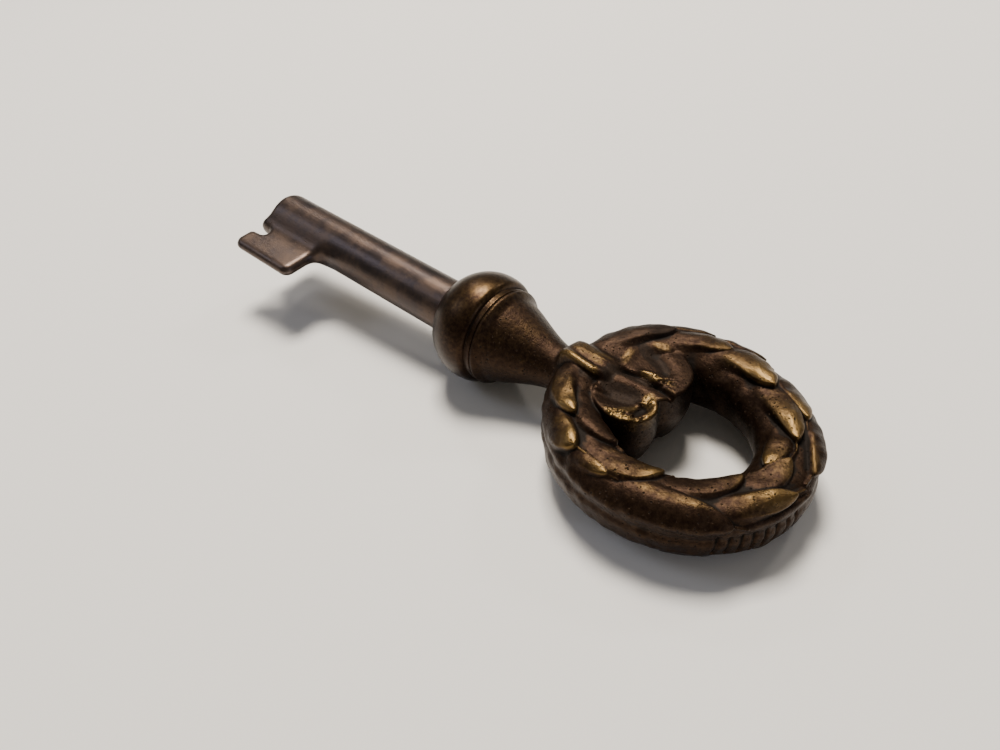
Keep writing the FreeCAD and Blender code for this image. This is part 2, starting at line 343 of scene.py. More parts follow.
FAR_LEAVES = [
    Leaf((0.9, 1.6), (9.4, 1.2), 2.0, 0.70, 0.0, 0.0, -0.6),
    Leaf((3.8, 3.4), (12.6, 3.1), 1.7, 0.62, 0.0, 0.0, 0.3),
    Leaf((7.4, 0.6), (14.8, 0.8), 1.8, 0.60, 0.0, 0.0, 0.35),
    Leaf((12.4, 0.7), (20.4, 0.0), 1.9, 0.95, 0.0, 0.1, 0.8),
    Leaf((9.4, 3.4), (17.2, 2.9), 1.7, 0.66, 0.0, 0.0, 0.3),
    Leaf((18.2, -0.7), (26.8, 0.3), 1.6, 0.92, 0.0, -0.1, 0.7),
    Leaf((17.2, 2.4), (24.2, 1.7), 1.5, 0.80, 0.3, 0.0, 0.8),
    Leaf((21.8, 3.2), (29.0, 2.8), 1.5, 0.66, 0.0, 0.0, 0.5),
    Leaf((24.0, -1.4), (30.8, -1.5), 1.5, 0.62, 0.0, 0.0, 0.6),
]


def leaf_relief(along, around, leaf):
    """How far one leaf stands off the branch, nothing at its root and proud at its tip,
    and how rubbed it is; the extra gold towards the tip is a painted highlight, and below zero it is painted
    shade."""
    way = np.array(leaf.tip) - np.array(leaf.root)
    length = np.linalg.norm(way)
    way = way / length
    part = ((along - leaf.root[0]) * way[0] + (around - leaf.root[1]) * way[1]) / length
    beside = (around - leaf.root[1]) * way[0] - (along - leaf.root[0]) * way[1]
    beside = beside - leaf.sweep * 4.0 * part * (1.0 - part)
    past = np.clip((part - LEAF_BELLY) / (1.0 - LEAF_BELLY), 0.0, 1.0)
    before = np.clip(1.0 - part / LEAF_BELLY, 0.0, 1.0)
    taper = np.sqrt(np.maximum(1.0 - past ** TIP_POWER, 0.0))
    half = leaf.half_width * (1.0 - ROOT_NARROWING * before ** 2) * taper
    slant = leaf.half_width * 0.5 * TIP_POWER * past ** (TIP_POWER - 1.0) / np.maximum(taper, 0.17)
    inside = (half - np.abs(beside)) / np.hypot(1.0, slant / ((1.0 - LEAF_BELLY) * length))
    width = SOFT_EDGE + (CRISP_EDGE - SOFT_EDGE) * smooth_step(0.2, 0.85, part)
    edge = smooth_step(-0.5, 0.5, inside / width)
    over = np.clip(beside / np.maximum(half, 0.3), -1.0, 1.0)
    within = np.clip(part, 0.0, 1.0)
    rise = RISE_SCALE * leaf.lift * np.sin(RISE_TURN * math.pi * within ** RISE_POWER)
    crown = 1.0 - CROWN_FALL * over ** 2 - leaf.dish * (1.0 - over ** 2) * np.sin(math.pi * within)
    # Rubbing grows towards the tip, where the extra gold is a painted highlight standing in for glints; below
    # zero the same shape spreads painted shade.
    shine = leaf.shine * edge * (0.4 * smooth_step(0.0, 0.4, part) + 0.7 * smooth_step(0.5, 0.95, part))
    return edge * rise * crown, shine


def branch_relief(along, around, leaves):
    """Relief of the topmost leaf everywhere, and how rubbed that leaf is, below zero its painted shade."""
    relief = np.zeros_like(along)
    shine = np.zeros_like(along)
    for leaf in leaves:
        near = (along > leaf.root[0] - 1.0) & (along < leaf.tip[0] + 1.0)
        if near.any():
            rise, leaf_rub_and_shade = leaf_relief(along[near], around[near], leaf)
            higher = rise > relief[near]
            shine[near] = np.where(higher, leaf_rub_and_shade, shine[near])
            relief[near] = np.maximum(relief[near], rise)
    return relief, shine


OUTER_FADE_START = 3.3
OUTER_FADE_END = 4.5
LOWER_FADE_SHIFT = 1.5


def wreath_relief(y, z, along, around):
    """Relief and rubbing of both branches' leaves, with their painted shade and tip highlights, each running
    a little past the meeting points.
    """
    beyond = np.where(along > BRANCH / 2.0, 2.0 * BRANCH - along, -along)
    near_relief, near_rub_and_shade = branch_relief(np.where(y < 0.0, along, beyond), around, NEAR_LEAVES)
    far_relief, far_rub_and_shade = branch_relief(np.where(y < 0.0, beyond, along), around, FAR_LEAVES)
    reach = np.where(z > 0.0, around, around + LOWER_FADE_SHIFT)
    relief = np.maximum(near_relief, far_relief) * smooth_step(OUTER_FADE_END, OUTER_FADE_START, reach)
    return relief, np.where(near_relief > far_relief, near_rub_and_shade, far_rub_and_shade)


LUMP_COUNT = 14
LUMP_HEIGHT = 0.05
SHORTEST_LUMP = 1.2
LONGEST_LUMP = 3.6
lumps = np.random.default_rng(7)
LUMP_WAVES = [(lumps.normal(size=3), lumps.uniform(0.0, 2.0 * math.pi),
               lumps.uniform(SHORTEST_LUMP, LONGEST_LUMP)) for _ in range(LUMP_COUNT)]


def lumpiness(x, y, z):
    """Gentle unevenness of the casting, about one high."""
    total = np.zeros_like(x)
    for way, start, pitch in LUMP_WAVES:
        a, b, c = way / np.linalg.norm(way) * 2.0 * math.pi / pitch
        total += np.sin(a * x + b * y + c * z + start)
    return total / math.sqrt(len(LUMP_WAVES))


FILE_CUTS = 8
FILE_CUT_START = 23.2
FILE_CUT_PITCH = 0.85
FILE_CUT_DEPTH = 0.22
FILE_CUT_WIDTH = 0.12
FILE_CUT_LEAN = 0.1


def file_cuts(along, z):
    """Short upright file cuts on the near branch's outer side."""
    cuts = np.zeros_like(along)
    reach = smooth_step(-1.7, -1.2, z) * smooth_step(1.1, 0.8, z)
    for index in range(FILE_CUTS):
        place = FILE_CUT_START + FILE_CUT_PITCH * index
        cuts += FILE_CUT_DEPTH * np.exp(-((along - place - FILE_CUT_LEAN * z) / FILE_CUT_WIDTH) ** 2) * reach
    return cuts


RELIEF_REACH = 1.6
OUTER_LINE_WIDTH = 0.45
OUTER_RIDGE = 0.12
OUTER_RIDGE_Z = 1.7
OUTER_GROOVE = 0.22
OUTER_GROOVE_Z = 0.5


def wreath_field(x, y, z):
    """The ring: a plain section with the leaves' relief, ridges, groove and file cuts on it."""
    along, around, outward, height = wreath_place(x, y, z)
    base = section_distance(outward, z, height - LEAF_STAND)
    close = np.abs(base) < RELIEF_REACH
    if not close.any():
        return base
    s, c = along[close], around[close]
    xc, yc, zc, oc = x[close], y[close], z[close], outward[close]
    relief = wreath_relief(yc, zc, s, c)[0] + LUMP_HEIGHT * lumpiness(xc, yc, zc)
    outer = smooth_step(0.0, 1.5, oc)
    relief = relief + outer * OUTER_RIDGE * np.exp(-((np.abs(zc) - OUTER_RIDGE_Z) / OUTER_LINE_WIDTH) ** 2)
    relief = relief - outer * OUTER_GROOVE * np.exp(-((zc - OUTER_GROOVE_Z) / OUTER_LINE_WIDTH) ** 2)
    relief = relief - file_cuts(s, zc) * (yc < 0.0) * outer
    result = base.copy()
    result[close] = base[close] - relief
    return result


# ---- ribbon bow, bell and neck ----

FAR_AWAY = 99.0


def stroke_gap(x, y, places):
    """Distance in the XY plane to a chain of straight strokes."""
    gap = np.full_like(x, FAR_AWAY)
    for (ax, ay), (bx, by) in zip(places[:-1], places[1:]):
        dx, dy = bx - ax, by - ay
        part = np.clip(((x - ax) * dx + (y - ay) * dy) / (dx * dx + dy * dy), 0.0, 1.0)
        gap = np.minimum(gap, np.hypot(x - ax - part * dx, y - ay - part * dy))
    return gap


def ridge(x, y, places, width):
    """Rounded ridge, one high on its centre line, along a chain of strokes."""
    return np.exp(-(stroke_gap(x, y, places) / width) ** 2)


def curved(places, turns=6):
    """Smooth chain of strokes through the places."""
    line = [places[0]] + list(places) + [places[-1]]
    result = []
    for index in range(len(places) - 1):
        a, b, c, d = (np.array(line[index + k], float) for k in range(4))
        for step in range(turns):
            t = step / turns
            point = b + 0.5 * t * (c - a + t * (2 * a - 5 * b + 4 * c - d + t * (3 * (b - c) + d - a)))
            result.append(tuple(point))
    result.append(tuple(places[-1]))
    return result


def disc_gap(x, y, centre, half_x, half_y, turn_degrees):
    """Distance to a flat oval outline, negative inside."""
    turn = math.radians(turn_degrees)
    u = (x - centre[0]) * math.cos(turn) + (y - centre[1]) * math.sin(turn)
    v = (y - centre[1]) * math.cos(turn) - (x - centre[0]) * math.sin(turn)
    size = np.maximum(np.hypot(u / half_x, v / half_y), 1e-4)
    slope = np.hypot(u / half_x ** 2, v / half_y ** 2) / size
    return np.where(size > 0.15, (size - 1.0) / np.maximum(slope, 1e-4), -0.8 * min(half_x, half_y))


RIBBON_TOP = 3.35
STEM_HEIGHT = 4.35

# The three tails, and last the wider band that joins them: the places each passes, its half
# width, and how far it is sunk.
STEMS = [
    ([(46.2, 1.0), (47.6, 0.95), (49.3, 0.85), (51.0, 1.1)], 0.65, 0.3),
    ([(46.1, 0.1), (47.4, 0.1), (49.2, 0.1), (51.0, 0.3)], 0.6, 0.2),
    ([(45.8, -0.8), (47.1, -1.0), (48.4, -1.15), (49.6, -1.25), (50.8, -0.8)], 0.5, 0.0),
    ([(46.0, 0.1), (51.0, 0.1)], 1.35, 0.4),
]

# Strokes along the ribbon's face: the places they pass, their width, and the raised ones'
# height.
RAISED_STROKES = [
    (curved([(51.2, 1.9), (51.1, 2.7), (50.7, 3.8)]), 0.5, 0.2),
    (curved([(54.4, 5.3), (55.8, 4.3), (56.7, 3.0), (56.9, 1.7)]), 1.5, 0.25),
]
SHADE_STROKE = (curved([(51.3, 5.0), (52.6, 4.7), (53.8, 4.2), (55.0, 3.4)]), 0.7)
SHADE_DEPTH = 0.3
LOOP_GAP_STROKE = (curved([(49.3, 0.44), (50.8, 0.8), (52.3, 1.13), (53.9, 1.35),
                           (55.2, 1.17), (56.4, 1.0), (57.6, 0.7)]), 0.28)
LOOP_GAP_DEPTH = 0.55
SMALL_LOOP_RISE = 0.25
LARGE_LOOP_TILT = 0.06

# Oval patches of the ribbon's face: centre, half length, half width, turn in degrees, how
# softly each fades, and for the raised and sunken ones how far.
RAISED_PATCHES = [
    ((52.1, 6.1), 1.3, 0.5, 5.0, 0.5, 0.4),
    ((54.3, 1.75), 0.9, 0.3, 8.0, 0.4, 0.4),
    ((55.9, 2.2), 0.7, 0.6, -30.0, 0.6, 0.15),
]
SUNKEN_PATCHES = [
    ((53.5, -1.8), 0.9, 0.3, 15.0, 1.1, 0.8),
    ((55.9, -2.2), 0.15, 0.55, -10.0, 0.42, 0.55),
]
TORN_PATCHES = [
    ((55.6, 1.9), 1.0, 0.5, 20.0, 0.5),
    ((55.4, -3.9), 1.5, 0.5, 15.0, 0.5),
]
TORN_HEIGHT = 0.09
TORN_FINENESS = 3.4


def patch(x, y, centre, half_x, half_y, turn_degrees, soft):
    """Patch, one high over an oval and fading out beyond it."""
    gap = np.maximum(disc_gap(x, y, centre, half_x, half_y, turn_degrees), 0.0)
    return np.exp(-(gap / soft) ** 2)


def ribbon_top(x, y):
    """Height of the ribbon bow's face over the middle plane."""
    rims = SMALL_LOOP_RISE * smooth_step(0.9, -0.1, y)
    for *stroke, height in RAISED_STROKES:
        rims = np.maximum(rims, height * ridge(x, y, *stroke))
    for *oval, height in RAISED_PATCHES:
        rims = np.maximum(rims, height * patch(x, y, *oval))
    top = RIBBON_TOP + rims
    top -= SHADE_DEPTH * ridge(x, y, *SHADE_STROKE)
    for *oval, depth in SUNKEN_PATCHES:
        top -= depth * patch(x, y, *oval)
    top -= LOOP_GAP_DEPTH * ridge(x, y, *LOOP_GAP_STROKE)
    top -= LARGE_LOOP_TILT * (y - 1.0) * smooth_step(0.5, 2.0, y)
    torn = sum(patch(x, y, *oval) for oval in TORN_PATCHES)
    grain = lumpiness(TORN_FINENESS * x, TORN_FINENESS * y, 0.0 * x)
    return top + TORN_HEIGHT * grain * np.minimum(torn, 1.0)


# Rubbed ovals of the ribbon and its tails, then ovals of painted shade in its hollows and grooves:
# centre, half length, half width, turn in degrees, and for the rubbed ones how much.
RIBBON_SHINES = [
    ((52.1, 6.0), 1.2, 0.4, 5.0, 0.4), ((50.9, 2.8), 0.2, 0.8, 10.0, 0.45),
    ((54.2, 1.7), 0.7, 0.3, 10.0, 0.8), ((55.9, 2.0), 0.7, 0.4, -10.0, 0.4),
    ((55.9, -0.9), 0.6, 0.3, -40.0, 0.9), ((55.2, -4.2), 1.3, 0.3, 8.0, 0.8),
    ((57.1, -2.2), 0.15, 1.0, 0.0, 0.7), ((54.9, -2.8), 0.15, 0.7, -25.0, 0.6),
    ((48.2, -1.2), 1.9, 0.2, -8.0, 1.0), ((48.6, 0.4), 2.2, 0.6, 0.0, 0.6),
]
# Painted shade: these ovals darken the ribbon's hollows, the loop gap and the hollow under the rim towards
# the dirt colour.
RIBBON_PAINTED_SHADE = [
    ((53.2, -1.4), 1.5, 0.6, 15.0), ((50.9, -0.8), 0.4, 1.0, 0.0), ((52.6, 0.75), 1.9, 0.15, 8.0),
    ((52.9, 4.2), 1.5, 0.3, -20.0),
]
SHINE_SOFTNESS = 0.35
PAINTED_SHADE_SOFTNESS = 0.4
PAINTED_SHADE_AMOUNT = 0.7


def ribbon_rub_and_shade(x, y):
    """How rubbed the ribbon and its tails are, below zero where painted shade darkens its hollows and
    grooves.
    """
    shine = np.zeros_like(x)
    for *oval, amount in RIBBON_SHINES:
        shine = np.maximum(shine, amount * patch(x, y, *oval, SHINE_SOFTNESS))
    for oval in RIBBON_PAINTED_SHADE:
        shine = shine - PAINTED_SHADE_AMOUNT * patch(x, y, *oval, PAINTED_SHADE_SOFTNESS)
    return shine


LARGE_LOOP = ((53.85, 2.6), 4.0, 4.1, 0.0)
SMALL_LOOP = ((54.0, -2.0), 3.45, 2.75, -8.0)
KNOT = ((50.6, 0.3), 2.2, 1.6, 0.0)
FACE_TAPER = 0.03
BACK_START = 0.5
BACK_TAPER = 0.14
BACK_POWER = 1.6
LOOP_BLEND = 0.4
KNOT_BLEND = 0.8
RIBBON_EDGE = 0.35


def ribbon_field(x, y, z):
    """The ribbon bow: two loops and a knot, thick drums that narrow towards the back."""
    large = disc_gap(x, y, *LARGE_LOOP)
    small = disc_gap(x, y, *SMALL_LOOP)
    knot = disc_gap(x, y, *KNOT)
    side = smooth_min(smooth_min(large, small, LOOP_BLEND), knot, KNOT_BLEND)
    side = side + FACE_TAPER * np.maximum(z, 0.0) + BACK_TAPER * np.maximum(BACK_START - z, 0.0) ** BACK_POWER
    return smooth_max(side, np.abs(z) - ribbon_top(x, y), RIBBON_EDGE)


STEM_FOOT = 47.2
STEM_FOOT_FALL = 0.2
STEM_END = 49.0
STEM_END_FALL = 0.12
STEM_REACH = 9.0
STEM_BLEND = 0.6


def stem_field(x, y, z):
    """The ribbon's tails, running over the wreath from the neck to the knot."""
    result = np.full_like(x, STEM_REACH)
    crest = STEM_HEIGHT - STEM_FOOT_FALL * np.maximum(STEM_FOOT - x, 0.0) ** 2
    crest = crest - STEM_END_FALL * np.maximum(x - STEM_END, 0.0) ** 2
    for places, width, sunk in STEMS:
        over = np.maximum(np.abs(z) - crest + width + sunk, 0.0)
        result = smooth_min(result, np.hypot(stroke_gap(x, y, places), over) - width, STEM_BLEND)
    return result


SPIGOT_END = 38.0
NECK_START = 44.8
NECK_END = 49.0
WREATH_START = 44.0
COLLAR_WEAR_END = 45.0
LIP_MIDDLE = 0.35
LIP_HALF_LENGTH = 0.55
LIP_DEPTH = 1.5
LIP_RADIUS = 5.35
SHOULDER_RADIUS = 4.95
NECK_RADIUS = 2.4
FLARE = 0.65
FLARE_POWER = 1.25
WAVE = 0.175
BELL_STEEPNESS = 1.12
COLLAR_GAP = 0.02
SPIGOT_GAP = 0.03
LIP_BLEND = 0.5
SPIGOT_BLEND = 0.05


def collar_field(x, r):
    """Spigot, lip, bell and neck, turned about the key's axis."""
    lip_start = ferrule_high[0]
    lip_middle = lip_start + LIP_MIDDLE
    lip = np.hypot((x - lip_middle) / LIP_HALF_LENGTH, (r - LIP_RADIUS + LIP_DEPTH) / LIP_DEPTH)
    lip = (lip - 1.0) * LIP_HALF_LENGTH
    lip = np.maximum(lip, lip_start + COLLAR_GAP - x)
    part = np.clip((x - lip_middle) / (NECK_START - lip_middle), 0.0, 1.0)
    falloff = FLARE * (1.0 - part) ** FLARE_POWER + WAVE * (1.0 + np.cos(math.pi * part))
    bell_radius = NECK_RADIUS + (SHOULDER_RADIUS - NECK_RADIUS) * falloff
    bell = (r - bell_radius) / BELL_STEEPNESS
    bell = np.maximum(np.maximum(bell, lip_start + COLLAR_GAP - x), x - NECK_END)
    spigot = np.maximum(np.maximum(r - SPIGOT_RADIUS + SPIGOT_GAP, bow_low[0] - x), x - SPIGOT_END)
    return smooth_min(smooth_min(lip, bell, LIP_BLEND), spigot, SPIGOT_BLEND)


TAIL_BLEND = 0.3
RIBBON_BLEND = 0.35
NECK_BLEND = 0.5


def bow_field(x, y, z):
    """The whole bow casting: collar, wreath, tails and ribbon in one skin."""
    result = collar_field(x, np.hypot(y, z))
    at_wreath = x > WREATH_START
    if at_wreath.any():
        part = (x[at_wreath], y[at_wreath], z[at_wreath])
        shape = wreath_field(*part)
        shape = smooth_min(shape, stem_field(*part), TAIL_BLEND)
        shape = smooth_min(shape, ribbon_field(*part), RIBBON_BLEND)
        result[at_wreath] = smooth_min(result[at_wreath], shape, NECK_BLEND)
    return result


# A rubbed line on the near branch's crest, as an oval in distance along and round it.
RUBBED_CREST = ((19.0, 0.7), 2.6, 0.2, 8.0, 0.5)
CREST_SHINE = 0.3


def bow_wear_and_painted_light(points, edges, swell):
    """How far handling has rubbed the bow to bare metal, most on the leaves' upper faces; below zero painted
    shade, and a painted sheen on the collar's upper side.
    """
    x, y, z = points.T
    along, around = wreath_place(x, y, z)[:2]
    shine = wreath_relief(y, z, along, around)[1]
    shine *= smooth_step(3.6, 1.4, around) * smooth_step(-3.4, -1.6, around)
    crest = np.where(y < 0.0, patch(along, around, *RUBBED_CREST), 0.0)
    shine = shine * (1.0 - crest) + CREST_SHINE * crest
    on_ribbon = smooth_step(0.3, -0.3, ribbon_field(x, y, 0.0 * z))
    on_ribbon = np.maximum(on_ribbon, smooth_step(0.3, -0.2, stem_field(x, y, z)))
    shine = shine * (1.0 - on_ribbon) + ribbon_rub_and_shade(x, y) * on_ribbon * smooth_step(1.8, 2.5, np.abs(z))
    on_wreath = 0.9 * shine + 0.08 * np.clip(swell, -1.0, 1.5) + 0.08 * np.clip(edges, -1.0, 1.5)
    # The collar's upper side is made more golden than its underside: a painted sheen from the light above.
    on_collar = 0.05 + 0.1 * np.clip(swell, -1.0, 0.4) + 0.15 * smooth_step(1.0, 4.0, z)
    return np.where(x > COLLAR_WEAR_END, on_wreath, on_collar)


def plain_wear_and_sheen(points, edges, swell):
    """Wear of the turned and flat pieces, with their upper sides made lighter: a painted sheen from the light
    above.
    """
    return 0.05 + 0.1 * np.clip(swell, -1.0, 0.4) + 0.2 * smooth_step(2.0, 6.0, points[:, 2])


# ---- ferrule, barrel, bit and braze ----

BEAD_FACE_RADIUS = 3.8
BEAD_BACK_RADIUS = 5.75
BEAD_ARC = 5.0
RIM_WIDTH = 0.6
RIM_START = ferrule_high[0] - RIM_WIDTH
RIM_RADIUS = 5.3
RIM_OVERLAP = 1.0
BEAD_BACK_ROUNDING = 0.6
BEAD_FACE_ROUNDING = 0.3


def bead_arc():
    """Centre of the arc that bulges from the bead's face to its back."""
    ax, ar = ferrule_low[0], BEAD_FACE_RADIUS
    bx, br = RIM_START, BEAD_BACK_RADIUS
    chord = math.hypot(bx - ax, br - ar)
    sink = math.sqrt(BEAD_ARC ** 2 - 0.25 * chord ** 2)
    return 0.5 * (ax + bx) + sink * (br - ar) / chord, 0.5 * (ar + br) - sink * (bx - ax) / chord


def ferrule_field(x, y, z):
    """Turned bead and rim, bored through for the tenon and wider for the spigot."""
    r = np.hypot(y, z)
    centre_x, centre_r = bead_arc()
    bead = np.hypot(x - centre_x, r - centre_r) - BEAD_ARC
    body = smooth_max(bead, x - RIM_START, BEAD_BACK_ROUNDING)
    body = smooth_max(body, ferrule_low[0] - x, BEAD_FACE_ROUNDING)
    rim = np.maximum(np.maximum(r - RIM_RADIUS, x - ferrule_high[0]), RIM_START - RIM_OVERLAP - x)
    body = np.minimum(body, rim)
    body = np.maximum(body, TENON_RADIUS - r)
    counterbore = np.maximum(r - SPIGOT_RADIUS, ferrule_low[0] + FERRULE_WEB - x)
    return np.maximum(body, -counterbore)


BORE_RADIUS = 1.6
BORE_DEPTH = 20.0
MOUTH_WEAR = 0.9
BORE_EDGE = 0.35
DRILL_POINT = 0.6
TENON_START = 20.0
TENON_GAP = 0.02
TUBE_GAP = 0.01


def barrel_field(x, y, z):
    """Barrel with a worn mouth, a drill-pointed bore, and the tenon that goes into the bow."""
    r = np.hypot(y, z)
    tube = smooth_max(r - BARREL_RADIUS, -x, MOUTH_WEAR)
    tube = np.maximum(tube, x - ferrule_low[0] + TUBE_GAP)
    tenon = np.maximum(np.maximum(r - TENON_RADIUS + TENON_GAP, TENON_START - x), x - barrel_high[0])
    bore = np.maximum(r - BORE_RADIUS, x - BORE_DEPTH - DRILL_POINT * (BORE_RADIUS - r))
    return smooth_max(np.minimum(tube, tenon), -bore, BORE_EDGE)


NOTCH_END = 1.6
NOTCH_NEAR = -3.6
NOTCH_FAR = -4.9
BIT_CORNER = 1.2
BIT_ROUNDING = 1.0
BIT_GROWTH = (0.1, 0.15, 0.0)
BIT_SHIFT = (0.05, 0.15, 0.0)
NOTCH_WEAR = 0.12
NOTCH_EDGE = 0.5


def bit_field(x, y, z):
    """Flat blade with rounded corners and edges, and a notch open to its front."""
    half = 0.5 * (bit_high - bit_low) + BIT_GROWTH
    middle = 0.5 * (bit_low + bit_high) - BIT_SHIFT
    qx = np.abs(x - middle[0]) - half[0] + BIT_CORNER
    qy = np.abs(y - middle[1]) - half[1] + BIT_CORNER
    blade = np.hypot(np.maximum(qx, 0.0), np.maximum(qy, 0.0)) + np.minimum(np.maximum(qx, qy), 0.0)
    blade = blade - BIT_CORNER
    notch_radius = 0.5 * (NOTCH_NEAR - NOTCH_FAR)
    notch_y = 0.5 * (NOTCH_NEAR + NOTCH_FAR)
    notch = np.hypot(np.maximum(x - NOTCH_END + notch_radius, 0.0), y - notch_y) - notch_radius
    notch = notch - NOTCH_WEAR * smooth_step(1.4, -0.6, x)
    outline = smooth_max(blade, -notch, NOTCH_EDGE)
    return smooth_max(outline, np.abs(z) - half[2], BIT_ROUNDING)


# How far the brazing reaches from its corner, how far its thin border dips under both
# skins, how deep it goes below them, and how far it sinks into the barrel.
FILLET = 2.7
FILLET_SKIN = 0.006
FILLET_DEPTH = 0.25
FILLET_ROOT = 0.4


def braze_field(x, y, z):
    """Brazing metal drawn into the corner between barrel and bit. Where it thins out its
    surface dips just under theirs."""
    r = np.hypot(y, z)
    tube = smooth_max(r - BARREL_RADIUS, -x, MOUTH_WEAR)
    blade = bit_field(x, y, z)
    closeness = np.maximum(1.0 - np.abs(tube - blade) / FILLET, 0.0)
    filled = np.minimum(tube, blade) - FILLET / 6.0 * closeness ** 3 + FILLET_SKIN
    shell = np.maximum(filled, -FILLET_DEPTH - np.minimum(tube, blade))
    shell = np.maximum(shell, BARREL_RADIUS - FILLET_ROOT - r)
    return np.maximum(shell, np.abs(tube - blade) - FILLET)


# ---- materials ----

def new_material(name):
    """New node material; returns the material, its node tree and its principled shader."""
    material = bpy.data.materials.new(name)
    material.use_nodes = True
    tree = material.node_tree
    return material, tree, tree.nodes["Principled BSDF"]


def noise(tree, scale, detail=4.0, roughness=0.55, stretch=None):
    """Fractal noise in the part's own coordinates; scale counts features per millimetre."""
    place = tree.nodes.new("ShaderNodeTexCoord")
    source = place.outputs["Object"]
    if stretch is not None:
        mapping = tree.nodes.new("ShaderNodeMapping")
        mapping.inputs["Scale"].default_value = stretch
        tree.links.new(source, mapping.inputs["Vector"])
        source = mapping.outputs["Vector"]
    texture = tree.nodes.new("ShaderNodeTexNoise")
    texture.inputs["Scale"].default_value = scale / MM
    texture.inputs["Detail"].default_value = detail
    texture.inputs["Roughness"].default_value = roughness
    tree.links.new(source, texture.inputs["Vector"])
    return texture.outputs["Fac"]


def pits(tree, scale, size):
    """Round pits: 1 in a pit's middle, 0 away from it."""
    place = tree.nodes.new("ShaderNodeTexCoord")
    texture = tree.nodes.new("ShaderNodeTexVoronoi")
    texture.inputs["Scale"].default_value = scale / MM
    tree.links.new(place.outputs["Object"], texture.inputs["Vector"])
    return between(tree, texture.outputs["Distance"], size, 0.3 * size)


def attribute(tree, name):
    """One of the numbers kept on the mesh's vertices."""
    node = tree.nodes.new("ShaderNodeAttribute")
    node.attribute_name = name
    return node.outputs["Fac"]


def between(tree, value, low, high):
    """Smoothly from 0 at low to 1 at high; low may be the larger of the two."""
    node = tree.nodes.new("ShaderNodeMapRange")
    node.interpolation_type = "SMOOTHSTEP"
    if low < high:
        node.inputs["From Min"].default_value = low
        node.inputs["From Max"].default_value = high
    else:
        node.inputs["From Min"].default_value = high
        node.inputs["From Max"].default_value = low
        node.inputs["To Min"].default_value = 1.0
        node.inputs["To Max"].default_value = 0.0
    tree.links.new(value, node.inputs["Value"])
    return node.outputs["Result"]


def put(tree, socket, value):
    """Feed a socket with another socket or with a constant."""
    if isinstance(value, (int, float, tuple)):
        socket.default_value = value
    else:
        tree.links.new(value, socket)


def calc(tree, operation, first, second):
    """One math operation on two sockets or constants."""
    node = tree.nodes.new("ShaderNodeMath")
    node.operation = operation
    put(tree, node.inputs[0], first)
    put(tree, node.inputs[1], second)
    return node.outputs["Value"]


def blend(tree, data_type, factor, first, second):
    """First where factor is 0, second where it is 1."""
    node = tree.nodes.new("ShaderNodeMix")
    node.data_type = data_type
    put(tree, node.inputs["Factor"], factor)
    put(tree, node.inputs["A"], first)
    put(tree, node.inputs["B"], second)
    return node.outputs["Result"]


def blend_colours(tree, factor, first, second):
    """Blend of two colours."""
    return blend(tree, "RGBA", factor, first, second)


def blend_values(tree, factor, first, second):
    """Blend of two numbers."""
    return blend(tree, "FLOAT", factor, first, second)


def bump(tree, shader, height, depth):
    """Bump from a height of 0 to 1, that many millimetres deep."""
    node = tree.nodes.new("ShaderNodeBump")
    node.inputs["Distance"].default_value = depth * MM
    tree.links.new(height, node.inputs["Height"])
    tree.links.new(node.outputs["Normal"], shader.inputs["Normal"])


def colour(red, green, blue):
    """Opaque colour in linear light."""
    return (red, green, blue, 1.0)


BRONZE_DARK = colour(0.014, 0.0065, 0.0035)
BRONZE_BROWN = colour(0.033, 0.018, 0.0095)
BRONZE_GOLD = colour(0.128, 0.079, 0.029)
# The dirt colour serves dirt, pits and painted shade alike.
DIRT_AND_SHADE = colour(0.007, 0.004, 0.002)


